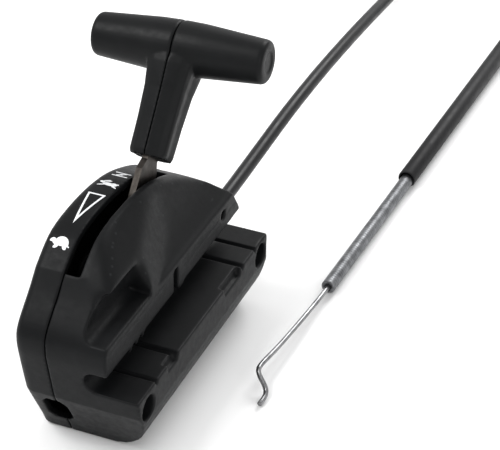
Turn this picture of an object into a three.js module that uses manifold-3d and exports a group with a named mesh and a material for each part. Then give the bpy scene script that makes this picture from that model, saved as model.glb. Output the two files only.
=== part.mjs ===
// Hand throttle control with a T-shaped lever, for a walk-behind machine.
// Units are millimetres and +Z is up. The design frame has +X along the lever's
// pivot towards the handlebar channel, +Y towards the cable and z = 0 on the floor.
import * as THREE from 'three';
import { mergeVertices } from 'three/addons/utils/BufferGeometryUtils.js';
import Module from 'manifold-3d';

const wasm = await Module();
wasm.setup();

// ---- driving dimensions -------------------------------------------------
const GAP = 0.3; // clearance between neighbouring pieces
const ORIGIN = [7, 44, 0]; // the row frame's origin, on the housing's base

const COVER_LEFT = -10.5; // outer face of the left cover
const BODY_RIGHT = 29; // outer face of the lower jaw
const JAW_RIGHT = 20; // outer face of the upper jaw
const WALL = 2.4;
const EDGE_ROUND = 3;
const SIDE_STEPS = 5; // straight steps for each point of the side outline's curves

const PIVOT = { y: 28, z: 38 };
const LEVER_X = 2.4; // middle of the lever blade
const BLADE_THICK = 2;
const BLADE_WIDE = 13.5;
const LEAN = THREE.MathUtils.degToRad(40); // the lever leans this far back at rest

const SLOT = { x: 5, front: -0.5, rear: 60.5 };
const CAVITY_X = 9; // depth of the room for the lever and the wire
const CHANNEL = { floor: 27.5, roof: 36, inner: 11.65 };
const FRONT_SCREW = { y: -5, z: 21.4 };
const CLAMP_SCREW = { y: 82.2, z: 22 }; // presses the clamp plate on the conduit
const JAW_HOLES = [FRONT_SCREW, CLAMP_SCREW];
const TOP_SCREW = { y: 71.5, z: 41.9 };

const CABLE = { x: 4.4, z: 22, exit: 88.3, r: 2.525 };
const WIRE_R = 0.85;
const HOOK_Y = 14.6;
const BAR = { radius: 76.5, left: 28.4, right: 29.6, rMid: 8.75, rEnd: 7.1, tilt: THREE.MathUtils.degToRad(2) };
const COIL = { x: 27, y: 384, r: 28, across: 19.8, high: 10.6 };
const CONDUIT = { from: [46.9, 100, 2.75], to: [49.4, 175.7, 2.75], r: 2.45, bore: 1.25 };
const SLEEVE = { r: 3.35, bore: 2.75, length: 145, rise: 0.75 };

// ---- materials ----------------------------------------------------------
const paint = (color, roughness, metalness = 0) =>
  new THREE.MeshStandardMaterial({ color, roughness, metalness });
const BLACK = paint(0x1b1d1f, 0.55);
const GRIP = paint(0x17181a, 0.5);
const STEEL = paint(0x8a8580, 0.4, 1);
const ZINC = paint(0xb9bbbd, 0.35, 1);
const FIBRE = paint(0x5a4632, 0.9);
const VINYL = paint(0x121314, 0.45);

// ---- geometry helpers ---------------------------------------------------
const X = new THREE.Vector3(1, 0, 0);
const Y = new THREE.Vector3(0, 1, 0);
const Z = new THREE.Vector3(0, 0, 1);

function solid(geometry) {
  const bare = geometry.clone();
  bare.deleteAttribute('normal');
  bare.deleteAttribute('uv');
  const merged = mergeVertices(bare, 1e-4);
  return new wasm.Manifold(new wasm.Mesh({
    numProp: 3,
    vertProperties: new Float32Array(merged.attributes.position.array),
    triVerts: new Uint32Array(merged.index.array),
  }));
}

function geometryOf(body) {
  const mesh = body.getMesh();
  const geometry = new THREE.BufferGeometry();
  geometry.setAttribute('position', new THREE.BufferAttribute(new Float32Array(mesh.vertProperties), 3));
  geometry.setIndex([...mesh.triVerts]);
  geometry.computeVertexNormals();
  return geometry;
}

const join = (...bodies) => bodies.reduce((a, b) => a.add(b));
const cut = (body, ...tools) => tools.reduce((a, b) => a.subtract(b), body);

// ExtrudeGeometry needs an outline with no point twice.
function cleaned(shape, curveSegments) {
  const points = shape.getPoints(curveSegments);
  const far = (p, q) => p.distanceTo(q) > 1e-3;
  return new THREE.Shape(points.filter((p, i) => far(p, points[(i + 1) % points.length])));
}

function extruded(shape, depth, curveSegments = 5) {
  return new THREE.ExtrudeGeometry(cleaned(shape, curveSegments), { depth, bevelEnabled: false });
}

// An outline in (y, z), pushed along X from x0 to x1.
function prismX(shape, x0, x1, curveSegments) {
  const turn = new THREE.Matrix4().makeBasis(Y, Z, X);
  const geometry = extruded(shape, x1 - x0, curveSegments);
  return solid(geometry.applyMatrix4(turn).translate(x0, 0, 0));
}

// An outline in (x, z), pushed along Y from y0 to y1.
function prismY(shape, y0, y1, curveSegments) {
  const turn = new THREE.Matrix4().makeBasis(X, Z, Y.clone().negate());
  const geometry = extruded(shape, y1 - y0, curveSegments);
  return solid(geometry.applyMatrix4(turn).translate(0, y1, 0));
}

function polygon(points) {
  return new THREE.Shape(points.map(([a, b]) => new THREE.Vector2(a, b)));
}

function block([x0, x1], [y0, y1], [z0, z1]) {
  const geometry = new THREE.BoxGeometry(x1 - x0, y1 - y0, z1 - z0);
  return solid(geometry.translate((x0 + x1) / 2, (y0 + y1) / 2, (z0 + z1) / 2));
}

// A turned piece about the X axis through (y, z): profile holds [radius, x] pairs.
function turnedX(profile, y, z, sides = 32) {
  const points = profile.map(([r, along]) => new THREE.Vector2(r, along));
  const geometry = new THREE.LatheGeometry(points, sides);
  return solid(geometry.rotateZ(-Math.PI / 2).translate(0, y, z));
}

function rodX(r, x0, x1, y, z, sides = 32) {
  return turnedX([[0, x0], [r, x0], [r, x1], [0, x1]], y, z, sides);
}

function ringX(rIn, rOut, x0, x1, y, z, sides = 32) {
  return turnedX([[rIn, x0], [rOut, x0], [rOut, x1], [rIn, x1], [rIn, x0]], y, z, sides);
}

// A ring or tube along +Y, starting at y0.
function ringY(rIn, rOut, y0, y1, x, z, sides = 24) {
  const points = [[rIn, y0], [rOut, y0], [rOut, y1], [rIn, y1], [rIn, y0]];
  const outline = points.map(([r, along]) => new THREE.Vector2(r, along));
  return solid(new THREE.LatheGeometry(outline, sides).translate(x, 0, z));
}

// A round section swept along a smooth path through the points.
function swept(points, r, sides, steps, curveType = 'centripetal') {
  const path = new THREE.CatmullRomCurve3(points.map((p) => new THREE.Vector3(...p)), false, curveType);
  const section = new THREE.Shape();
  section.absarc(0, 0, r, 0, 2 * Math.PI);
  const geometry = new THREE.ExtrudeGeometry(section, {
    steps,
    extrudePath: path,
    curveSegments: sides,
    bevelEnabled: false,
  });
  return solid(geometry);
}

const throttle = new THREE.Group();
throttle.position.set(-ORIGIN[0], -ORIGIN[1], -ORIGIN[2]);

function place(name, body, material, parent = throttle) {
  const mesh = new THREE.Mesh(geometryOf(body), material);
  mesh.name = name;
  parent.add(mesh);
  return mesh;
}

// ---- housing outlines ---------------------------------------------------
const vectors = (points) => points.map(([a, b]) => new THREE.Vector2(a, b));

function sideOutline() {
  const side = new THREE.Shape();
  side.moveTo(0, 0);
  side.lineTo(-1.7, 3.8);
  side.lineTo(-10.5, 20.3);
  side.splineThru(vectors([[-13.2, 31.7], [-14.8, 40.6], [-13.1, 46.4], [-5.2, 54.2], [-0.5, 59.4]]));
  side.splineThru(vectors([[10.6, 66.2], [27.3, 67.8], [43.2, 66.1], [56, 62], [68, 56], [79, 46.5]]));
  side.splineThru(vectors([[85.5, 36.4], [87.7, 27], [88, 18]]));
  side.lineTo(86, 0);
  return side;
}

// The same outline, moved inwards, point for point.
function insideLoop(inset) {
  const outer = sideOutline().getPoints(SIDE_STEPS);
  const loop = outer.filter((p, i) => i === 0 || p.distanceTo(outer[i - 1]) > 0.01);
  return loop.map((p, i) => {
    const before = loop[(i + loop.length - 1) % loop.length];
    const after = loop[(i + 1) % loop.length];
    const into = p.clone().sub(before).normalize();
    const out = after.clone().sub(p).normalize();
    const along = into.clone().add(out).normalize();
    const reach = inset / Math.max(0.6, along.dot(out));
    return new THREE.Vector2(p.x + along.y * reach, p.y - along.x * reach);
  });
}

const insideOutline = (inset) => new THREE.Shape(insideLoop(inset));

// The cover's outer form: its left edge is rounded by a quarter circle.
function coverForm(x1) {
  const steps = 5;
  const rings = Array.from({ length: steps + 1 }, (_, k) => {
    const a = (k / steps) * (Math.PI / 2);
    return { x: COVER_LEFT + EDGE_ROUND * (1 - Math.sin(a)), inset: EDGE_ROUND * (1 - Math.cos(a)) };
  }).reverse();
  rings.push({ x: x1, inset: 0 });
  const loops = rings.map((ring) => insideLoop(ring.inset));
  const n = loops[0].length;
  const points = loops.flatMap((loop, k) => loop.flatMap((p) => [rings[k].x, p.x, p.y]));
  const faces = [];
  for (let k = 0; k < loops.length - 1; k += 1) {
    for (let i = 0; i < n; i += 1) {
      const a = k * n + i;
      const b = k * n + ((i + 1) % n);
      faces.push(a, b + n, b, a, a + n, b + n);
    }
  }
  const cap = THREE.ShapeUtils.triangulateShape(loops[0], []);
  const last = (loops.length - 1) * n;
  for (const [a, b, c] of cap) {
    faces.push(a, c, b);
    faces.push(last + a, last + b, last + c);
  }
  const geometry = new THREE.BufferGeometry();
  geometry.setAttribute('position', new THREE.Float32BufferAttribute(points, 3));
  geometry.setIndex(faces);
  return solid(geometry);
}

// Lower housing, the round-ended handlebar channel and the slope up to the slot's lip.
function bodySection() {
  const s = new THREE.Shape();
  const rise = (CHANNEL.roof - CHANNEL.floor) / 2;
  s.moveTo(0, 0);
  s.lineTo(14.2, 0);
  s.quadraticCurveTo(26, 1.5, BODY_RIGHT, 18);
  s.lineTo(BODY_RIGHT, CHANNEL.floor);
  s.lineTo(CHANNEL.inner + rise, CHANNEL.floor);
  s.absarc(CHANNEL.inner + rise, CHANNEL.floor + rise, rise, -Math.PI / 2, -1.5 * Math.PI, true);
  s.lineTo(JAW_RIGHT, CHANNEL.roof);
  s.lineTo(JAW_RIGHT, 45.5);
  s.quadraticCurveTo(13, 50, 7.2, 69);
  s.lineTo(0, 69);
  return s;
}

// The slanting face that takes the front lobe down into the slope behind it.
const LOBE_FACE = { normal: new THREE.Vector3(0.921, 0.159, 0.357).normalize(), offset: 38 };

// Everything behind a plane, as a large block.
function halfSpace(normal, offset) {
  const size = 300;
  const geometry = new THREE.BoxGeometry(size, size, size).translate(0, 0, -size / 2);
  geometry.applyQuaternion(new THREE.Quaternion().setFromUnitVectors(Z, normal));
  const shift = normal.clone().multiplyScalar(offset);
  return solid(geometry.translate(shift.x, shift.y, shift.z));
}

// The full front lobe, above the upper jaw.
function lobeSection() {
  const s = new THREE.Shape();
  s.moveTo(0, 42);
  s.lineTo(JAW_RIGHT, 42);
  s.lineTo(JAW_RIGHT, 46);
  s.splineThru(vectors([[18.8, 51.5], [17, 56], [14, 60], [10, 64.5], [6.6, 69]]));
  s.lineTo(0, 69);
  return s;
}

const frontPort = () => {
  const hex = polygon([[-5.5, 8.6], [-3.4, 6.3], [0.8, 6.3], [2.9, 8.6], [2.9, 15.3], [0.8, 17.6],
    [-3.4, 17.6], [-5.5, 15.3]]);
  return prismY(hex, -14, 6);
};

// ---- left cover ---------------------------------------------------------
function leftCover() {
  const shell = cut(
    coverForm(0),
    prismX(insideOutline(WALL), COVER_LEFT + WALL, 1, SIDE_STEPS),
  );
  const frontPost = rodX(4.6, COVER_LEFT + 1, -GAP / 2, FRONT_SCREW.y, FRONT_SCREW.z);
  const pivotPost = rodX(7, COVER_LEFT + 1, -2, PIVOT.y, PIVOT.z);
  const topPost = rodX(3.6, COVER_LEFT + 1, -GAP / 2, TOP_SCREW.y, TOP_SCREW.z);
  const ribs = [10, 46, 62].map((y) => block([COVER_LEFT + 1, -4], [y, y + 1.4], [1, 14]));
  const holes = [
    rodX(2.3, -20, 1, FRONT_SCREW.y, FRONT_SCREW.z),
    rodX(4.3, -20, COVER_LEFT + 3, FRONT_SCREW.y, FRONT_SCREW.z),
    rodX(3.3, -20, 1, PIVOT.y, PIVOT.z),
    rodX(6.3, -20, COVER_LEFT + 2.8, PIVOT.y, PIVOT.z),
    rodX(1.7, -20, 1, TOP_SCREW.y, TOP_SCREW.z),
    rodX(3.3, -20, COVER_LEFT + 2.4, TOP_SCREW.y, TOP_SCREW.z),
    frontPort(),
    ringCut(),
  ];
  const body = cut(join(shell, frontPost, pivotPost, topPost, ...ribs), ...holes);
  return cut(body, block([-GAP / 2, 20], [-40, 120], [-10, 90]));
}

// The cable's way out of the rear wall.
function ringCut() {
  return rodAlongY(CABLE.r + 0.35, 84, 92, CABLE.x, CABLE.z);
}

function rodAlongY(r, y0, y1, x, z, sides = 24) {
  const geometry = new THREE.CylinderGeometry(r, r, y1 - y0, sides);
  return solid(geometry.translate(x, (y0 + y1) / 2, z));
}

// ---- right body ---------------------------------------------------------
function jawTeeth() {
  const count = 3;
  const pitch = 4.2;
  return Array.from({ length: count }, (_, i) => {
    const y = 0.8 + i * pitch;
    const tooth = polygon([[y, 37], [y + 0.9, 34.5], [y + 2.4, 34.5], [y + 3.1, 37]]);
    return prismX(tooth, 15.5, JAW_RIGHT - 0.2);
  });
}

function rightBody() {
  const profile = prismX(sideOutline(), 0, BODY_RIGHT, SIDE_STEPS);
  const lobe = prismY(lobeSection(), -30, 58).intersect(halfSpace(LOBE_FACE.normal, LOBE_FACE.offset));
  const outer = profile.intersect(join(prismY(bodySection(), -30, 100, 8), lobe));

  const lowRoom = prismX(insideOutline(WALL), 0, CAVITY_X, SIDE_STEPS)
    .intersect(block([-1, CAVITY_X], [-30, 100], [0, 48]));
  const slot = block([-1, SLOT.x], [SLOT.front, SLOT.rear], [40, 80]);
  const slotRoof = prismX(insideOutline(WALL), -1, SLOT.x, SIDE_STEPS)
    .intersect(block([-1, SLOT.x], [SLOT.front - 6, SLOT.rear + 6], [44, 70]));
  const hollow = cut(outer, lowRoom, slot, slotRoof);

  const posts = [
    rodX(4.6, GAP / 2, CAVITY_X + 0.5, FRONT_SCREW.y, FRONT_SCREW.z),
    rodX(7, LEVER_X + BLADE_THICK / 2 + 2.1, CAVITY_X + 0.5, PIVOT.y, PIVOT.z),
    rodX(3.6, GAP / 2, CAVITY_X + 0.5, TOP_SCREW.y, TOP_SCREW.z),
    ...jawTeeth(),
    hookTab(),
  ];

  const pocketCut = prismY(pocketSection(), -30, 17, 6);
  const grooves = [[0, 1.6], [14, 2.4], [66, 1.6], [76.5, 1.6]].map(([y, wide]) =>
    block([12, 40], [y, y + wide], [CHANNEL.floor - 1.3, CHANNEL.floor + 1]));
  const lip = [[8.6, 15.8], [52, 65]].map(([y0, y1]) =>
    block([BODY_RIGHT - 2, 40], [y0, y1], [CHANNEL.floor - 2.4, CHANNEL.floor + 1]));
  const holes = [
    rodX(2.3, -1, 40, FRONT_SCREW.y, FRONT_SCREW.z),
    rodX(2.3, CAVITY_X - 1, 40, CLAMP_SCREW.y, CLAMP_SCREW.z),
    ...JAW_HOLES.map((b) => rodX(4.2, 15.5, 40, b.y, b.z)),
    ...JAW_HOLES.map((b) => ringX(5.3, 5.9, BODY_RIGHT - 0.6, 40, b.y, b.z)),
    rodX(3.3, 1, 8.9, PIVOT.y, PIVOT.z),
    rodX(5.1, 6.6, 10.1, PIVOT.y, PIVOT.z, 6),
    rodX(1.7, -1, 40, TOP_SCREW.y, TOP_SCREW.z, 16),
    block([JAW_RIGHT - 1, 40], [-30, 30], [42.7, 43.4]),
    block([JAW_RIGHT - 0.8, 40], [40, 84], [41.2, 41.8]),
    block([JAW_RIGHT - 3, 40], [33.2, 36.2], [30, 44]),
    prismX(notchOutline(), 10, 40, 4),
    frontPort(),
    ringCut(),
  ];
  const whole = cut(join(hollow, ...posts), pocketCut, ...grooves, ...lip, ...holes);
  const kept = whole.intersect(profile);
  return cut(kept, block([-20, GAP / 2], [-40, 120], [-10, 90]));
}

// The recess over the upper jaw, with a round inner end.
function pocketSection() {
  const s = new THREE.Shape();
  s.moveTo(40, 45.8);
  s.lineTo(14.8, 45.8);
  s.quadraticCurveTo(11.7, 46.2, 11.7, 49.5);
  s.quadraticCurveTo(11.7, 54.5, 14.2, 56.3);
  s.lineTo(40, 56.3);
  return s;
}

// The step behind the upper jaw, between it and the rear boss.
function notchOutline() {
  const s = new THREE.Shape();
  s.moveTo(96, CHANNEL.floor);
  s.lineTo(77, CHANNEL.floor);
  s.lineTo(77, 33.5);
  s.quadraticCurveTo(77.2, 36.2, 80, 36.3);
  s.lineTo(96, 36.3);
  return s;
}

// The short tongue beside the gap in the upper jaw.
const hookTab = () => block([16.5, JAW_RIGHT - 0.2], [37, 40.5], [34.8, 37]);

// ---- lever --------------------------------------------------------------
// Built standing upright over the pivot, then leant back in its own group.
const lever = new THREE.Group();
lever.position.set(0, PIVOT.y, PIVOT.z);
lever.rotation.x = -LEAN;
throttle.add(lever);

const X0 = LEVER_X - BLADE_THICK / 2;
const X1 = LEVER_X + BLADE_THICK / 2;
const NECK = 4.4; // half the blade's width inside the handle
const HOOK_SLOT = 2.2; // half the width of the wire's slot in the arm
const WASHER = { inner: 4.4, outer: 8, thick: 1.4 };

function leverBlade() {
  const half = BLADE_WIDE / 2;
  const blade = new THREE.Shape();
  blade.moveTo(-half, 6);
  blade.lineTo(-half, 36);
  blade.lineTo(-NECK, 39.6);
  blade.lineTo(-NECK, 69);
  blade.lineTo(NECK, 69);
  blade.lineTo(NECK, 39.6);
  blade.lineTo(half, 36);
  blade.lineTo(half, 6);
  blade.quadraticCurveTo(9.6, 0, 6, -7);
  blade.lineTo(4.6, -24);
  blade.quadraticCurveTo(0, -27.5, -4.6, -24);
  blade.lineTo(-6, -7);
  blade.quadraticCurveTo(-9.6, 0, -half, 6);
  const hookSlot = new THREE.Shape();
  hookSlot.absarc(0, -16.2, HOOK_SLOT, Math.PI, 0, true);
  hookSlot.absarc(0, -21.6, HOOK_SLOT, 0, -Math.PI, true);
  return cut(
    prismX(blade, X0, X1, 6),
    prismX(hookSlot, X0 - 1, X1 + 1, 6),
    rodX(WASHER.inner, X0 - 1, X1 + 1, 0, 0),
    rodX(1.9, X0 - 1, X1 + 1, 0, 52, 20),
  );
}

// Crossbar profile: slight taper both ways, rounded edges, shallow end discs.
function barProfile() {
  const round = 1.6;
  const { rMid, rEnd } = BAR;
  const end = (half) => {
    const arc = Array.from({ length: 5 }, (_, i) => {
      const a = (i / 4) * (Math.PI / 2);
      return [rEnd - round + round * Math.cos(a), half - round + round * Math.sin(a)];
    });
    return [[rMid - 0.35, 0], [rMid, 0.5], [rMid - 0.15, half * 0.25], ...arc,
      [rEnd - 3.4, half], [rEnd - 3.8, half - 0.5], [0, half - 0.5]];
  };
  const left = end(BAR.left).map(([r, along]) => [r, -along]).reverse();
  return [...left, ...end(BAR.right).slice(1)];
}

// Stem sections by height above the pivot: half width along X and half depth along Y.
const STEM = [
  { z: 40.5, wide: 5.9, deep: 6.2, crown: 0.6 },
  { z: 42, wide: 6.35, deep: 6.6, crown: 1.0 },
  { z: 52, wide: 6.5, deep: 7.0, crown: 1.2 },
  { z: 62, wide: 6.9, deep: 7.6, crown: 1.2 },
  { z: 70, wide: 7.7, deep: 8.5, crown: 0.8 },
  { z: 77, wide: 8.2, deep: 7.4, crown: 0.2 },
];

// Half of the stem, from the seam plane outwards along +X.
function stemHalf() {
  const corner = (s) => [
    [0, -s.deep],
    [s.wide * 0.62, -s.deep + s.crown],
    [s.wide - 0.5, -s.deep + s.crown + 1.2],
    [s.wide, -s.deep * 0.45],
    [s.wide - 0.45, 0],
    [s.wide, s.deep * 0.45],
    [s.wide - 0.5, s.deep - s.crown - 1.2],
    [s.wide * 0.62, s.deep - s.crown],
    [0, s.deep],
  ];
  const rings = STEM.map((s) => corner(s).map(([x, y]) => [x, y, s.z]));
  const points = rings.flat();
  const n = rings[0].length;
  const faces = [];
  for (let k = 0; k < rings.length - 1; k += 1) {
    for (let i = 0; i < n; i += 1) {
      const a = k * n + i;
      const b = k * n + ((i + 1) % n);
      faces.push(a, b, b + n, a, b + n, a + n);
    }
  }
  const top = (rings.length - 1) * n;
  for (let i = 1; i < n - 1; i += 1) {
    faces.push(0, i + 1, i);
    faces.push(top, top + i, top + i + 1);
  }
  const geometry = new THREE.BufferGeometry();
  geometry.setAttribute('position', new THREE.Float32BufferAttribute(points.flat(), 3));
  geometry.setIndex(faces);
  return solid(geometry);
}

// Both halves as one, around the blade's middle plane.
function handleWhole() {
  const points = barProfile().map(([r, along]) => new THREE.Vector2(r, along));
  const bar = new THREE.LatheGeometry(points, 40).rotateZ(-Math.PI / 2).rotateY(-BAR.tilt);
  const room = block(
    [-BLADE_THICK / 2 - GAP, BLADE_THICK / 2 + GAP],
    [-NECK - GAP, NECK + GAP],
    [30, 69.4],
  );
  const body = join(solid(bar.translate(0, 0, BAR.radius)), stemHalf(), stemHalf().mirror([1, 0, 0]));
  return cut(body, room, rodX(1.9, -4.6, 4.6, 0, 52, 20)).translate([LEVER_X, 0, 0]);
}

const handle = handleWhole();
const handleSide = (x0, x1) => handle.intersect(block([x0, x1], [-40, 40], [0, 120]));
place('lever_blade', leverBlade(), STEEL, lever);
place('handle_right', handleSide(LEVER_X + GAP / 2, 60), GRIP, lever);
place('handle_left', handleSide(-60, LEVER_X - GAP / 2), GRIP, lever);
place('handle_pin', rodX(1.6, LEVER_X - 4.2, LEVER_X + 4.2, 0, 52, 16), ZINC, lever);

// ---- housing pieces and the pivot's stack -------------------------------
place('left_cover', leftCover(), BLACK);
place('right_body', rightBody(), BLACK);

const atPivot = [PIVOT.y, PIVOT.z];
function panScrew(headR, headFrom, headTo, shankR, shankTo, y, z) {
  const crown = (headTo - headFrom) * 0.35;
  return cut(
    turnedX([[0, headFrom], [headR * 0.7, headFrom], [headR, headFrom + crown], [headR, headTo],
      [shankR, headTo], [shankR, shankTo - 0.6], [shankR - 0.6, shankTo], [0, shankTo]], y, z, 24),
    block([headFrom - 1, headFrom + 0.9], [y - 0.5, y + 0.5], [z - headR * 0.6, z + headR * 0.6]),
    block([headFrom - 1, headFrom + 0.9], [y - headR * 0.6, y + headR * 0.6], [z - 0.5, z + 0.5]),
  );
}

// It stands in the rear jaw hole, head outwards.
function clampScrew() {
  const { y, z } = CLAMP_SCREW;
  return cut(
    turnedX([[0, 8.7], [1.4, 8.7], [2, 9.3], [2, 15.9], [3.8, 15.9], [3.8, 18], [2.8, 18.8], [0, 18.8]], y, z, 24),
    rodX(1.7, 17.4, 19, y, z, 6),
  );
}
place('pivot_bolt', panScrew(5.8, COVER_LEFT + 0.3, COVER_LEFT + 2.5, 2.9, 8.7, ...atPivot), ZINC);
place('pivot_nut', cut(rodX(4.7, 6.9, 8.8, ...atPivot, 6), rodX(3.2, 6, 10, ...atPivot, 24)), ZINC);
place('pivot_bush', ringX(3.2, 4, -1.6, 5.2, ...atPivot, 28), STEEL);
place('wave_washer', ringX(WASHER.inner, 7, -1.7, -0.9, ...atPivot, 28), STEEL);
place('friction_washer_left', ringX(WASHER.inner, WASHER.outer, -0.6, X0 - GAP, ...atPivot, 28), FIBRE);
place('friction_washer_right', ringX(WASHER.inner, WASHER.outer, X1 + GAP, X1 + 1.8, ...atPivot, 28), FIBRE);

place('screw_front', panScrew(3.9, COVER_LEFT + 0.4, COVER_LEFT + 2.7, 2, 22, FRONT_SCREW.y, FRONT_SCREW.z), ZINC);
place('nut_front', cut(
  rodX(3.9, 15.8, 19, FRONT_SCREW.y, FRONT_SCREW.z, 6),
  rodX(2.3, 15, 20, FRONT_SCREW.y, FRONT_SCREW.z, 24),
), ZINC);
place('clamp_screw', clampScrew(), ZINC);
place('screw_top', panScrew(3, COVER_LEFT + 0.3, COVER_LEFT + 2.1, 1.4, 13, TOP_SCREW.y, TOP_SCREW.z), ZINC);

// ---- cable end inside the housing ---------------------------------------
const inside = { x: CABLE.x, z: CABLE.z };
place('conduit_end', ringY(1.3, CABLE.r - 0.05, 58, CABLE.exit - GAP, inside.x, inside.z), ZINC);
place('conduit_ferrule', ringY(CABLE.r + 0.2, CABLE.r + 0.9, 59, 65, inside.x, inside.z), STEEL);
place('cable_clamp', block([7.3, 8.5], [77, 85], [17.5, 26.5]), STEEL);

// Control wire: a straight run on the cable's line and a hook through the lever's arm.
function innerWire() {
  const tail = 64;
  const bend = 1.6;
  return swept([[CABLE.x, tail, CABLE.z], [CABLE.x, (tail + HOOK_Y) / 2, CABLE.z],
    [CABLE.x, HOOK_Y + bend * 1.6, CABLE.z], [CABLE.x - 0.5, HOOK_Y + 0.35, CABLE.z],
    [CABLE.x - bend, HOOK_Y, CABLE.z], [LEVER_X, HOOK_Y, CABLE.z], [-1, HOOK_Y, CABLE.z]],
  WIRE_R, 10, 40);
}
place('inner_wire', innerWire(), ZINC);

// ---- the free cable -----------------------------------------------------
// Straight out of the housing, over the view's edge, down to the coil on the floor.
const LEAD_MEET = COIL.y - 20.6; // where the cable meets the coil's outside
const TAIL_MEET = COIL.y - 22.6;
const LEAD = [[4.4, CABLE.exit, 22], [4.2, 100, 22], [4, 124, 22.6], [4, 141, 23.5], [4, 169, 24.9],
  [4, 200, 25], [3.8, 232, 23.4], [3, 262, 20.2], [1.4, 290, 15.6], [-1.4, 316, 10.2], [-5, 342, 5],
  [-7.8, LEAD_MEET, 2.9]];
const TAIL_START = CONDUIT.to[1] + SLEEVE.length + GAP;
const TAIL = [[54.2, TAIL_START, 3.5], [54.7, TAIL_START + 8, 3.6], [57.2, TAIL_START + 20, 5],
  [59.9, TAIL_START + 32, 7], [60.8, TAIL_MEET, 7.8]];

place('cable_lead', swept(LEAD, CABLE.r, 10, 24), VINYL);

function coilRing() {
  const { r, across, high } = COIL;
  const section = vectors([[r - across / 2, 0.3], [r + across / 2, 0.3], [r + across / 2, high],
    [r - across / 2, high], [r - across / 2, 0.3]]);
  const ring = new THREE.LatheGeometry(section, 48).rotateX(Math.PI / 2);
  return cut(solid(ring.translate(COIL.x, COIL.y, 0)), coilTieRoom());
}

function coilTieRoom() {
  const x = COIL.x;
  const y = COIL.y + COIL.r;
  const halfX = 2.6;
  const halfY = COIL.across / 2;
  return cut(
    block([x - halfX, x + halfX], [y - halfY - 2, y + halfY + 2], [-1, COIL.high + 2]),
    block([x - halfX, x + halfX], [y - halfY + 0.9, y + halfY - 0.9], [1.2, COIL.high - 0.9]),
  );
}

// A twisted wire tie around the coil's turns.
function coilTie() {
  const x = COIL.x;
  const y = COIL.y + COIL.r;
  const halfX = 2.2;
  const halfY = COIL.across / 2;
  return cut(
    block([x - halfX, x + halfX], [y - halfY, y + halfY], [0.1, COIL.high + 0.2]),
    block([x - 5, x + 5], [y - halfY + 0.6, y + halfY - 0.6], [0.9, COIL.high - 0.6]),
  );
}
place('cable_coil', coilRing(), VINYL);
place('coil_tie', coilTie(), VINYL);
place('cable_tail', swept(TAIL, CABLE.r, 10, 8), VINYL);

// ---- engine end of the cable, lying on the floor ------------------------
const conduitStart = new THREE.Vector3(...CONDUIT.to);
const conduitEnd = new THREE.Vector3(...CONDUIT.from);
const conduitWay = conduitEnd.clone().sub(conduitStart).normalize();
const floorRun = new THREE.Group();
floorRun.position.copy(conduitStart);
floorRun.quaternion.setFromUnitVectors(Y.clone().negate(), conduitWay);
throttle.add(floorRun);

const conduitLength = conduitStart.distanceTo(conduitEnd);
const sleeveMouth = 2.6;
place('bare_conduit', ringY(CONDUIT.bore, CONDUIT.r, -conduitLength, sleeveMouth, 0, 0), ZINC, floorRun);
place('end_sleeve', cut(
  rodAlongY(SLEEVE.r, 0, SLEEVE.length - 0.5, 0, SLEEVE.rise),
  rodAlongY(SLEEVE.bore, -1, sleeveMouth + GAP, 0, 0),
), VINYL, floorRun);

function endWire() {
  const hidden = -conduitLength + 34;
  return swept([[0, hidden, 0], [0, -conduitLength + 8, 0], [0, -conduitLength - 8, 0.15], [-0.4, -116, 2.3],
    [-0.9, -131, 3.6], [-0.5, -133, 3.4], [2.2, -134.4, 0.6], [3.9, -135.6, -1.2], [4.3, -138, -1.6],
    [4.2, -142, -1.75]], WIRE_R, 10, 44);
}
place('end_wire', endWire(), ZINC, floorRun);

export default throttle;
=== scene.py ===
"""Looks for the hand throttle control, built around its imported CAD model."""

import math

import bmesh
import bpy
from mathutils import Matrix, Vector


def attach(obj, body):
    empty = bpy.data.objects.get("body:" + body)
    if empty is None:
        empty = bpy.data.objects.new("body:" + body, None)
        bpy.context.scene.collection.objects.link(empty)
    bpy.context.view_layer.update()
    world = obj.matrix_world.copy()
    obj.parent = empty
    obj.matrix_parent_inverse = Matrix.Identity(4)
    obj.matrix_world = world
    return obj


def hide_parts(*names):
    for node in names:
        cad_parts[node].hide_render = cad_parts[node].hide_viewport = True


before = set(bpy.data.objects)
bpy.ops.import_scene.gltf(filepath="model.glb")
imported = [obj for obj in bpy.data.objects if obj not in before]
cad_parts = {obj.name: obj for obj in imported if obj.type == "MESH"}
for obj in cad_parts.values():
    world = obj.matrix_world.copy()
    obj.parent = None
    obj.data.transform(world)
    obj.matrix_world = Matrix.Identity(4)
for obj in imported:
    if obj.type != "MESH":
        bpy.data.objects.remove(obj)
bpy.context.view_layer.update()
MM = 0.001
ORIGIN = Vector((7, 44, 0))  # the row's origin in the design frame that part.mjs uses, in mm


def at(x, y, z):
    """A point of the design frame, in mm, as a point of the row frame, in metres."""
    return (Vector((x, y, z)) - ORIGIN) * MM


# ---- camera -----------------------------------------------------------------
CAMERA_PLACE = (225.8, -414.9, 386.5)
CAMERA_ANGLES = (22.0, 33.4, 1.1)  # azimuth, elevation and roll, in degrees
CAMERA_LENS, CAMERA_SENSOR = 140.4, 36  # in mm


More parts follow.
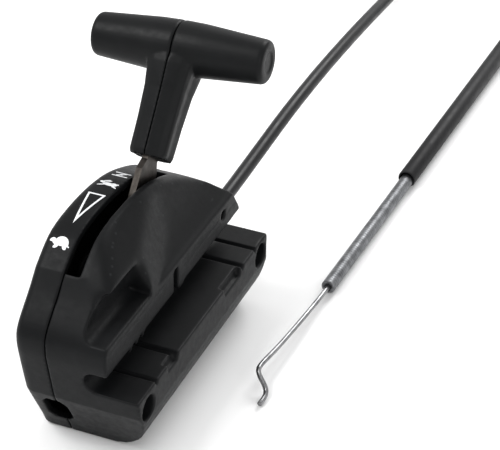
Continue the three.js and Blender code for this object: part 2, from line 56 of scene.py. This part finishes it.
def add_camera():
    azimuth, elevation, roll = (math.radians(a) for a in CAMERA_ANGLES)
    back = Vector((
        math.cos(elevation) * math.sin(azimuth),
        -math.cos(elevation) * math.cos(azimuth),
        math.sin(elevation),
    ))
    level = Vector((math.cos(azimuth), math.sin(azimuth), 0))
    up = back.cross(level)
    right = level * math.cos(roll) + up * math.sin(roll)
    top = up * math.cos(roll) - level * math.sin(roll)
    camera = bpy.data.objects.new("camera", bpy.data.cameras.new("camera"))
    camera.data.sensor_width = CAMERA_SENSOR
    camera.data.lens = CAMERA_LENS
    camera.data.clip_start = 0.01
    turn = Matrix((right, top, back)).transposed().to_4x4()
    camera.matrix_world = Matrix.Translation(at(*CAMERA_PLACE)) @ turn
    bpy.context.collection.objects.link(camera)
    bpy.context.scene.camera = camera


add_camera()


# ---- materials --------------------------------------------------------------
class Nodes:
    """A material's node tree, with short calls to add and link its nodes."""

    def __init__(self, name):
        self.material = bpy.data.materials.new(name)
        self.material.use_nodes = True
        self.tree = self.material.node_tree
        self.shader = self.tree.nodes["Principled BSDF"]

    def add(self, kind, inputs=None, **settings):
        node = self.tree.nodes.new(f"ShaderNode{kind}")
        for key, value in settings.items():
            setattr(node, key, value)
        for key, value in (inputs or {}).items():
            if isinstance(value, bpy.types.NodeSocket):
                self.tree.links.new(value, node.inputs[key])
            else:
                node.inputs[key].default_value = value
        return node

    def place(self):
        return self.add("TexCoord").outputs["Object"]

    def noise(self, scale, detail=3.0, roughness=0.5, vector=None):
        inputs = {"Scale": scale, "Detail": detail, "Roughness": roughness}
        inputs["Vector"] = vector or self.place()
        return self.add("TexNoise", inputs).outputs["Fac"]

    def ramp(self, factor, low, high, dark, light):
        node = self.add("MapRange", {"Value": factor, "From Min": low, "From Max": high,
                                     "To Min": dark, "To Max": light})
        return node.outputs["Result"]

    def mix(self, factor, one, other):
        node = self.add("MixRGB", {"Fac": factor, "Color1": (*one, 1), "Color2": (*other, 1)})
        return node.outputs["Color"]

    def bump(self, height, strength, distance, normal=None):
        inputs = {"Height": height, "Strength": strength, "Distance": distance}
        if normal:
            inputs["Normal"] = normal
        return self.add("Bump", inputs).outputs["Normal"]

    def finish(self, **sockets):
        for key, value in sockets.items():
            target = self.shader.inputs[key.replace("_", " ")]
            if isinstance(value, bpy.types.NodeSocket):
                self.tree.links.new(value, target)
            else:
                target.default_value = value
        return self.material


def moulded_plastic(name, dark, light, rough, grain=0.35):
    """Black plastic from a spark-eroded mould: fine grain, faint flow marks, and a painted highlight that
    makes sharp edges paler.
    """
    n = Nodes(name)
    cloud = n.noise(45, 4, 0.6)
    grit = n.noise(4200, 2, 0.6)
    scuff = n.noise(420, 5, 0.7)
    edge = n.add("NewGeometry").outputs["Pointiness"]
    # Painted highlight: the sharpest edges (high pointiness) are mixed towards a paler grey.
    painted_edge_highlight = n.ramp(edge, 0.56, 0.64, 0.0, 0.55)
    colour = n.mix(n.ramp(cloud, 0.3, 0.7, 0.0, 1.0), dark, light)
    edge_highlit_colour = n.add("MixRGB", {"Fac": painted_edge_highlight, "Color1": colour, "Color2": (0.022, 0.0235, 0.025, 1)})
    roughness = n.ramp(scuff, 0.3, 0.75, rough - 0.07, rough + 0.1)
    normal = n.bump(grit, grain, 0.00006)
    normal = n.bump(cloud, 0.12, 0.0004, normal)
    return n.finish(Base_Color=edge_highlit_colour.outputs["Color"], Roughness=roughness, Normal=normal,
                    Specular_IOR_Level=0.11)


def metal(name, dark, light, rough, streak=(30, 900, 900)):
    """Plated or drawn metal with fine streaks and dull spots."""
    n = Nodes(name)
    stretched = n.add("Mapping", {"Vector": n.place(), "Scale": streak}).outputs["Vector"]
    lines = n.noise(1.0, 3, 0.6, stretched)
    spots = n.noise(260, 5, 0.7)
    colour = n.mix(n.ramp(spots, 0.35, 0.7, 0.0, 1.0), dark, light)
    roughness = n.ramp(lines, 0.3, 0.7, rough - 0.08, rough + 0.12)
    normal = n.bump(lines, 0.25, 0.00008)
    return n.finish(Base_Color=colour, Metallic=1.0, Roughness=roughness, Normal=normal)


def vinyl(name, rough):
    """The cable's black jacket: extruded, satin, with faint lengthwise marks."""
    n = Nodes(name)
    marks = n.noise(180, 4, 0.6)
    fine = n.noise(2600, 2, 0.5)
    colour = n.mix(n.ramp(marks, 0.3, 0.7, 0.0, 1.0), (0.005, 0.005, 0.0055), (0.011, 0.011, 0.012))
    roughness = n.ramp(marks, 0.3, 0.7, rough - 0.06, rough + 0.1)
    normal = n.bump(fine, 0.2, 0.00004)
    return n.finish(Base_Color=colour, Roughness=roughness, Normal=normal, Specular_IOR_Level=0.2)


def fibre(name):
    n = Nodes(name)
    flecks = n.noise(1500, 4, 0.7)
    colour = n.mix(flecks, (0.12, 0.07, 0.04), (0.27, 0.17, 0.10))
    return n.finish(Base_Color=colour, Roughness=0.9, Normal=n.bump(flecks, 0.4, 0.0001))


def pad_print(name):
    """White ink, slightly uneven where the grain shows through."""
    n = Nodes(name)
    grain = n.noise(3800, 3, 0.6)
    colour = n.mix(n.ramp(grain, 0.35, 0.7, 0.0, 1.0), (0.88, 0.89, 0.90), (0.70, 0.72, 0.74))
    return n.finish(Base_Color=colour, Roughness=0.5, Normal=n.bump(grain, 0.2, 0.00005))


HOUSING = moulded_plastic("housing_plastic", (0.0036, 0.0039, 0.0043), (0.0066, 0.007, 0.0076), 0.46)
GRIP = moulded_plastic("grip_plastic", (0.0042, 0.0045, 0.0048), (0.0076, 0.008, 0.0084), 0.42, 0.25)
BLADE = metal("blade_steel", (0.035, 0.031, 0.028), (0.085, 0.076, 0.068), 0.45, (900, 60, 60))
ZINC = metal("zinc_plate", (0.42, 0.43, 0.45), (0.66, 0.67, 0.69), 0.32)
WIRE = metal("drawn_wire", (0.16, 0.16, 0.165), (0.34, 0.34, 0.345), 0.28, (900, 40, 900))
CONDUIT = metal("conduit_steel", (0.10, 0.103, 0.108), (0.26, 0.265, 0.275), 0.4, (700, 120, 700))
FIBRE = fibre("pressed_fibre")
JACKET = vinyl("cable_vinyl", 0.36)
SLEEVE = vinyl("sleeve_vinyl", 0.5)
INK = pad_print("icon_ink")

CARRIED_OVER = {
    BLADE: ("lever_blade", "pivot_bush", "wave_washer", "conduit_ferrule", "cable_clamp"),
    ZINC: ("handle_pin", "pivot_bolt", "pivot_nut", "screw_front", "nut_front", "clamp_screw",
           "screw_top", "conduit_end"),
    FIBRE: ("friction_washer_left", "friction_washer_right"),
    WIRE: ("inner_wire",),
}
for finish, names in CARRIED_OVER.items():
    for name in names:
        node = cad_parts[name]
        node.data.materials.clear()
        node.data.materials.append(finish)


# ---- making pieces ----------------------------------------------------------
def new_piece(name, mesh, material, body):
    piece = bpy.data.objects.new(name, mesh)
    bpy.context.collection.objects.link(piece)
    piece.data.materials.clear()
    piece.data.materials.append(material)
    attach(piece, body)
    return piece


def smooth(piece):
    for polygon in piece.data.polygons:
        polygon.use_smooth = True


def applied(piece):
    """The piece's mesh with its modifiers applied, and none left on it."""
    graph = bpy.context.evaluated_depsgraph_get()
    mesh = bpy.data.meshes.new_from_object(piece.evaluated_get(graph))
    piece.modifiers.clear()
    piece.data = mesh


def band(value, low, high, soft):
    """1 between low and high, falling to 0 over soft on either side."""
    inside = min(value - low, high - value) / soft
    return min(max(inside, 0.0), 1.0)


def lobe_weight(x, y, z):
    """How strongly a point of the body belongs to the lobe and the slope behind it."""
    return band(x, 6.8, 19.6, 1.6) * band(y, -6, 72, 5) * band(z, 47, 80, 1.5)


def front_weight(x, y, z):
    """The curved front of the body, left of the channel and the recess."""
    return band(x, 0.9, 10.4, 0.8) * band(y, -30, -2.4, 1.5) * band(z, 21.5, 80, 2)


def blur(piece, name, weight, repeat):
    """Smooths one region of a piece much more than its edges."""
    group = piece.vertex_groups.new(name=name)
    for v in piece.data.vertices:
        share = weight(*(v.co / MM + ORIGIN))
        if share > 0:
            group.add([v.index], share, "REPLACE")
    modifier = piece.modifiers.new(name, "SMOOTH")
    modifier.vertex_group = name
    modifier.factor = 0.5
    modifier.iterations = repeat


def softened(node_name, piece_name, material, body, slot, voxel, keep, passes, blurs=()):
    """A CAD node's own shape with the small round edges of a moulding."""
    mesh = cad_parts[node_name].data.copy()
    piece = new_piece(piece_name, mesh, material, body)
    remesh = piece.modifiers.new("remesh", "REMESH")
    remesh.mode = "VOXEL"
    remesh.voxel_size = voxel * MM
    applied(piece)
    for name, weight, repeat in blurs:
        blur(piece, name, weight, repeat)
    relax = piece.modifiers.new("relax", "SMOOTH")
    relax.factor = 0.5
    relax.iterations = passes
    thin = piece.modifiers.new("thin", "DECIMATE")
    thin.ratio = keep
    applied(piece)
    smooth(piece)
    piece.data.materials.clear()
    piece.data.materials.append(material)
    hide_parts(node_name)
    return piece


# Each moulding's voxel in mm, the share of its faces kept and its smoothing passes.
HOUSING_MESH = {"voxel": 0.45, "keep": 0.3, "passes": 3}
GRIP_MESH = {"voxel": 0.4, "keep": 0.35, "passes": 5}
BODY_BLURS = (("lobe", lobe_weight, 260), ("front", front_weight, 60))
softened("right_body", "right_housing", HOUSING, "root", "housing", **HOUSING_MESH, blurs=BODY_BLURS)
cover = softened("left_cover", "left_housing", HOUSING, "root", "housing", **HOUSING_MESH)
for side in ("right", "left"):
    softened(f"handle_{side}", f"handle_shell_{side}", GRIP, "lever", "grip", **GRIP_MESH)


# ---- icons ------------------------------------------------------------------
def disc(u, v, a, b, turn=0.0, count=20):
    """An ellipse's outline in the icon's plane."""
    c, s = math.cos(turn), math.sin(turn)
    ring = [(a * math.cos(t), b * math.sin(t)) for t in (2 * math.pi * k / count for k in range(count))]
    return [(u + x * c - y * s, v + x * s + y * c) for x, y in ring]


def bar(p, q, width):
    """A straight stroke from p to q."""
    way = (Vector(q) - Vector(p)).normalized()
    side = Vector((-way.y, way.x)) * width / 2
    p, q = Vector(p), Vector(q)
    return [tuple(p + side), tuple(p - side), tuple(q - side), tuple(q + side)]


def dome(u, v, a, b, count=14):
    """The upper half of an ellipse's outline."""
    angles = (math.pi * k / count for k in range(count + 1))
    return [(u + a * math.cos(t), v + b * math.sin(t)) for t in angles]


# Both animals are plain side views that face left.
TURTLE = [
    dome(0.5, -0.7, 2.5, 2.5), disc(-2.6, 0.25, 0.95, 0.6, 0.3), bar((-2.4, -0.1), (-1.6, -0.7), 0.7),
    bar((-1.6, -0.9), (2.9, -0.9), 0.5), disc(-1.0, -1.5, 0.85, 0.45, 0.5), disc(2.0, -1.5, 0.75, 0.5, -0.4),
    bar((2.7, -0.7), (3.5, -1.1), 0.35),
]
HARE = [
    disc(0.3, 0, 2.2, 1.0, -0.1), disc(1.7, 0.15, 1.2, 1.1), disc(-2.3, 0.9, 0.85, 0.6, -0.3),
    disc(-1.3, 2.1, 1.25, 0.3, -2.5), disc(-0.8, 1.9, 1.2, 0.28, -2.7), bar((-1.9, 0.6), (-1.2, 0.2), 0.9),
    disc(-1.9, -1.1, 1.3, 0.28, 0.5), disc(2.3, -1.2, 1.3, 0.32, -0.5), disc(2.9, 0.7, 0.42, 0.38),
]
CHOKE = [
    bar((-2.6, -1.5), (2.6, -1.5), 0.55), bar((-2.6, 1.5), (2.6, 1.5), 0.55),
    bar((-1.3, -1.2), (1.3, 1.2), 0.6), disc(0, 0, 0.6, 0.6),
]


def wedge(tip, base, half, stroke):
    """A narrow triangle's outline with mitred corners, as three strokes."""
    outer = [Vector((0, tip)), Vector((half, base)), Vector((-half, base))]
    slant = math.hypot(half, base - tip)
    inner_base = base - stroke
    inner_tip = tip + stroke * slant / half
    inner_half = half * (inner_base - inner_tip) / (base - tip)
    inner = [Vector((0, inner_tip)), Vector((inner_half, inner_base)), Vector((-inner_half, inner_base))]
    return [[tuple(outer[k]), tuple(outer[(k + 1) % 3]), tuple(inner[(k + 1) % 3]), tuple(inner[k])]
            for k in range(3)]


WEDGE = wedge(-8.3, 8.2, 2.9, 0.62)


INK_THICK = 0.06 * MM
ABOVE_COVER = 100  # a height over the cover, in mm, to drop the ink from
OFF_COVER = 60  # the height of a point that misses the cover


def printed(name, outlines, x, y, scale=1.0):
    """Ink laid on the cover's top: each outline is cut fine and dropped on the surface."""
    made = bmesh.new()
    for outline in outlines:
        made.faces.new([made.verts.new((x + u * scale, y + v * scale, 0)) for u, v in outline])
    bmesh.ops.triangulate(made, faces=made.faces[:])
    bmesh.ops.subdivide_edges(made, edges=made.edges[:], cuts=2, use_grid_fill=True)
    for v in made.verts:
        above = at(v.co.x, v.co.y, ABOVE_COVER)
        hit, place, normal, _ = cover.ray_cast(above, Vector((0, 0, -1)))
        v.co = place + normal * INK_THICK if hit else at(v.co.x, v.co.y, OFF_COVER)
    bmesh.ops.recalc_face_normals(made, faces=made.faces[:])
    mesh = bpy.data.meshes.new(name)
    made.to_mesh(mesh)
    made.free()
    if sum(p.normal.z for p in mesh.polygons) < 0:
        mesh.flip_normals()
    piece = new_piece(name, mesh, INK, "root")
    shell = piece.modifiers.new("ink", "SOLIDIFY")
    shell.thickness = INK_THICK
    shell.offset = 0
    applied(piece)


printed("icon_slow", TURTLE, -4.9, 6.8, 0.95)
printed("icon_wedge", WEDGE, -4.3, 22.2)
printed("icon_fast", HARE, -4.2, 37.6)
printed("icon_choke", CHOKE, -4.0, 46.6)


# ---- cable ------------------------------------------------------------------
CABLE_R = 2.525
COIL = Vector((27, 384))  # the coil's centre on the floor
PITCH = 5.12  # from one turn to the next, a little over the cable's diameter
COIL_OUT, COIL_LOW = 35.05, 2.9  # the outer turn's radius and the lower layer's height
STEPS_A_TURN = 20
INWARD_TURNS, RAMP_TURNS, OUTWARD_TURNS = 2.75, 0.25, 2.5
LEAD = [(4.4, 88.3, 22), (4.2, 100, 22), (4, 124, 22.6), (4, 141, 23.5), (4, 169, 24.9), (4, 200, 25),
        (3.8, 232, 23.4), (3, 262, 20.2), (1.4, 290, 15.6), (-1.4, 316, 10.2), (-5, 342, 5),
        (-7.8, 363.4, 2.9)]
TAIL = [(60.8, 361.4, 7.8), (59.9, 353, 7), (57.2, 341, 5), (54.7, 329, 3.6), (54.2, 321, 3.5)]
SLEEVE_BACK, SLEEVE_MOUTH = Vector((54.2, 320.7, 3.5)), Vector((49.4, 175.7, 3.5))


def coil_points():
    """A flat spiral inwards on the floor, a ramp, and a spiral outwards on top of it."""
    total = INWARD_TURNS + RAMP_TURNS + OUTWARD_TURNS
    steps = int(total * STEPS_A_TURN)
    r_in = COIL_OUT - PITCH * INWARD_TURNS
    for k in range(1, steps + 1):
        turn = total * k / steps
        up = min(max((turn - INWARD_TURNS) / RAMP_TURNS, 0), 1)
        r = COIL_OUT - PITCH * min(turn, INWARD_TURNS)
        r = max(r, r_in) + PITCH * max(turn - INWARD_TURNS - RAMP_TURNS, 0)
        z = COIL_LOW + PITCH * (up * up * (3 - 2 * up))
        angle = math.pi - 2 * math.pi * turn
        yield (COIL.x + r * math.cos(angle), COIL.y + r * math.sin(angle), z)


def smooth_line(points, samples):
    """Centripetal Catmull-Rom through the points, as three.js draws it."""
    pts = [Vector(p) for p in points]
    pts = [pts[0] * 2 - pts[1]] + pts + [pts[-1] * 2 - pts[-2]]
    line = []
    for i in range(1, len(pts) - 2):
        p0, p1, p2, p3 = pts[i - 1:i + 3]
        d1, d2, d3 = ((b - a).length ** 0.5 for a, b in ((p0, p1), (p1, p2), (p2, p3)))
        m1 = (p1 - p0) / d1 - (p2 - p0) / (d1 + d2) + (p2 - p1) / d2
        m2 = (p2 - p1) / d2 - (p3 - p1) / (d2 + d3) + (p3 - p2) / d3
        m1, m2 = m1 * d2, m2 * d2
        for k in range(samples):
            t = k / samples
            a = (2 * t ** 3 - 3 * t ** 2 + 1) * p1 + (t ** 3 - 2 * t ** 2 + t) * m1
            line.append(a + (-2 * t ** 3 + 3 * t ** 2) * p2 + (t ** 3 - t ** 2) * m2)
    line.append(pts[-2])
    return line


def curve_piece(name, line, radius, material, body, resolution=5):
    curve = bpy.data.curves.new(name, "CURVE")
    curve.dimensions = "3D"
    curve.bevel_depth = radius * MM
    curve.bevel_resolution = resolution
    curve.use_fill_caps = True
    spline = curve.splines.new("POLY")
    spline.points.add(len(line) - 1)
    for point, place in zip(spline.points, line):
        point.co = (*at(*place), 1)
    spline.use_smooth = True
    piece = bpy.data.objects.new(name, curve)
    bpy.context.collection.objects.link(piece)
    piece.data.materials.append(material)
    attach(piece, body)
    return piece


IN_SLEEVE = [tuple(SLEEVE_BACK + (SLEEVE_MOUTH - SLEEVE_BACK) * k / 8) for k in range(1, 8)]
route = smooth_line(LEAD + list(coil_points()) + TAIL + IN_SLEEVE, 4)
cable = curve_piece("control_cable", route, CABLE_R, JACKET, "root")
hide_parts("cable_lead", "cable_coil", "cable_tail")


def lathe(name, profile, origin, way, material, body, sides=48):
    """A turned mesh: profile holds (radius, distance) pairs in mm along way from origin."""
    way = Vector(way).normalized()
    side = way.orthogonal().normalized()
    other = way.cross(side)
    made = bmesh.new()
    rings = []
    for r, along in profile:
        centre = Vector(origin) + way * along
        rings.append([made.verts.new(at(*(centre + (side * math.cos(a) + other * math.sin(a)) * r)))
                      for a in (2 * math.pi * k / sides for k in range(sides))])
    for one, next_one in zip(rings, rings[1:]):
        for k in range(sides):
            j = (k + 1) % sides
            made.faces.new((one[k], one[j], next_one[j], next_one[k]))
    if profile[0] != profile[-1]:
        made.faces.new(rings[0][::-1])
        made.faces.new(rings[-1])
    bmesh.ops.remove_doubles(made, verts=made.verts[:], dist=1e-7)
    bmesh.ops.recalc_face_normals(made, faces=made.faces[:])
    mesh = bpy.data.meshes.new(name)
    made.to_mesh(mesh)
    made.free()
    piece = new_piece(name, mesh, material, body)
    for polygon in piece.data.polygons:
        polygon.use_smooth = len(polygon.vertices) == 4
    return piece


SLEEVE_WAY = SLEEVE_MOUTH - SLEEVE_BACK
SLEEVE_LONG = SLEEVE_WAY.length
sleeve = lathe("end_sleeve_skin", [
    (2.58, 0.2), (3.1, 0.2), (3.32, 0.5), (3.34, SLEEVE_LONG - 0.4), (3.18, SLEEVE_LONG - 0.05),
    (2.75, SLEEVE_LONG), (2.62, SLEEVE_LONG - 0.3), (2.62, SLEEVE_LONG - 2.8), (2.58, SLEEVE_LONG - 2.8),
    (2.58, 0.2)],
    SLEEVE_BACK, SLEEVE_WAY, SLEEVE, "root")
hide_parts("end_sleeve")

CONDUIT_TO, CONDUIT_FROM = Vector((49.4, 175.7, 2.75)), Vector((46.9, 100, 2.75))
CONDUIT_R, CONDUIT_BORE, CONDUIT_TURN = 2.45, 1.25, 1.25


def conduit_skin():
    """Close-wound flat wire: each turn is a shallow crown, and the bore shows at the open end."""
    way = CONDUIT_FROM - CONDUIT_TO
    long = way.length
    back = -2.4  # how far it reaches into the sleeve
    groove = CONDUIT_R - 0.1
    profile = [(CONDUIT_BORE, back), (groove, back)]
    count = int((long - back) / CONDUIT_TURN)
    for k in range(count):
        start = back + k * (long - back) / count
        step = (long - back) / count
        profile += [(groove, start + 0.06 * step), (CONDUIT_R, start + 0.25 * step),
                    (CONDUIT_R, start + 0.75 * step), (groove, start + 0.96 * step)]
    profile += [(CONDUIT_R - 0.25, long), (CONDUIT_BORE, long), (CONDUIT_BORE, back)]
    return lathe("bare_conduit_skin", profile, CONDUIT_TO, way, CONDUIT, "root", 32)


conduit = conduit_skin()
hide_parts("bare_conduit")


def round_off(node_name, piece_name, material, body, passes):
    """A CAD wire with its facets subdivided into a round section."""
    piece = new_piece(piece_name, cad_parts[node_name].data.copy(), material, body)
    weld = piece.modifiers.new("weld", "WELD")
    weld.merge_threshold = 1e-6
    divide = piece.modifiers.new("divide", "SUBSURF")
    divide.levels = divide.render_levels = passes
    applied(piece)
    smooth(piece)
    piece.data.materials.clear()
    piece.data.materials.append(material)
    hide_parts(node_name)
    return piece


def tie_piece():
    """A paper-covered wire tie around the coil, as a closed loop whose two ends overlap a little."""
    x, y = COIL.x, COIL.y + 28  # over the middle of the turns, behind the coil's centre
    half, low, high, corner = 10.3, 0.55, 10.9, 2.2
    loop = []
    for cy, cz, start in ((y + half - corner, high - corner, 0), (y - half + corner, high - corner, 90),
                          (y - half + corner, low + corner, 180), (y + half - corner, low + corner, 270)):
        for k in range(5):
            a = math.radians(start + k * 22.5)
            loop.append(Vector((x, cy + corner * math.cos(a), cz + corner * math.sin(a))))
    loop.append(loop[0] + Vector((0.4, 0, 0.2)))
    return curve_piece("coil_tie_strap", loop, 0.42, SLEEVE, "root", 3)


end_wire = round_off("end_wire", "end_wire_round", WIRE, "end_wire_body", 1)
tie = tie_piece()
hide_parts("coil_tie")


# ---- floor and light --------------------------------------------------------
FLOOR_HEIGHT = -0.0003  # just under the object's base, in metres
WORLD_STRENGTH = 0.8
LIGHTS = {
    # name: place, target, size and power, in metres and watts
    "key": ((-0.5, -0.35, 0.9), (0, 0, 0.03), 0.5, 7),
    "fill": ((0.9, -0.6, 0.6), (0, 0, 0.03), 0.8, 2.5),
    "rim": ((0.1, 0.9, 0.7), (0, 0, 0.05), 0.5, 6),
}


def add_floor():
    mesh = bpy.data.meshes.new("floor")
    made = bmesh.new()
    bmesh.ops.create_grid(made, x_segments=1, y_segments=1, size=4)
    made.to_mesh(mesh)
    made.free()
    floor = bpy.data.objects.new("floor", mesh)
    floor.location.z = FLOOR_HEIGHT
    bpy.context.collection.objects.link(floor)
    n = Nodes("floor_paper")
    floor.data.materials.append(n.finish(Base_Color=(0.92, 0.92, 0.92, 1), Roughness=0.8))


def add_light(name, place, target, size, energy):
    light = bpy.data.objects.new(name, bpy.data.lights.new(name, "AREA"))
    light.data.shape = "DISK"
    light.data.size = size
    light.data.energy = energy
    light.location = place
    light.rotation_euler = (Vector(target) - Vector(place)).to_track_quat("-Z", "Y").to_euler()
    bpy.context.collection.objects.link(light)


add_floor()
world = bpy.data.worlds.new("studio")
world.use_nodes = True
world.node_tree.nodes["Background"].inputs["Color"].default_value = (1, 1, 1, 1)
world.node_tree.nodes["Background"].inputs["Strength"].default_value = WORLD_STRENGTH
bpy.context.scene.world = world
bpy.context.scene.view_settings.view_transform = "Standard"
for name, setting in LIGHTS.items():
    add_light(name, *setting)
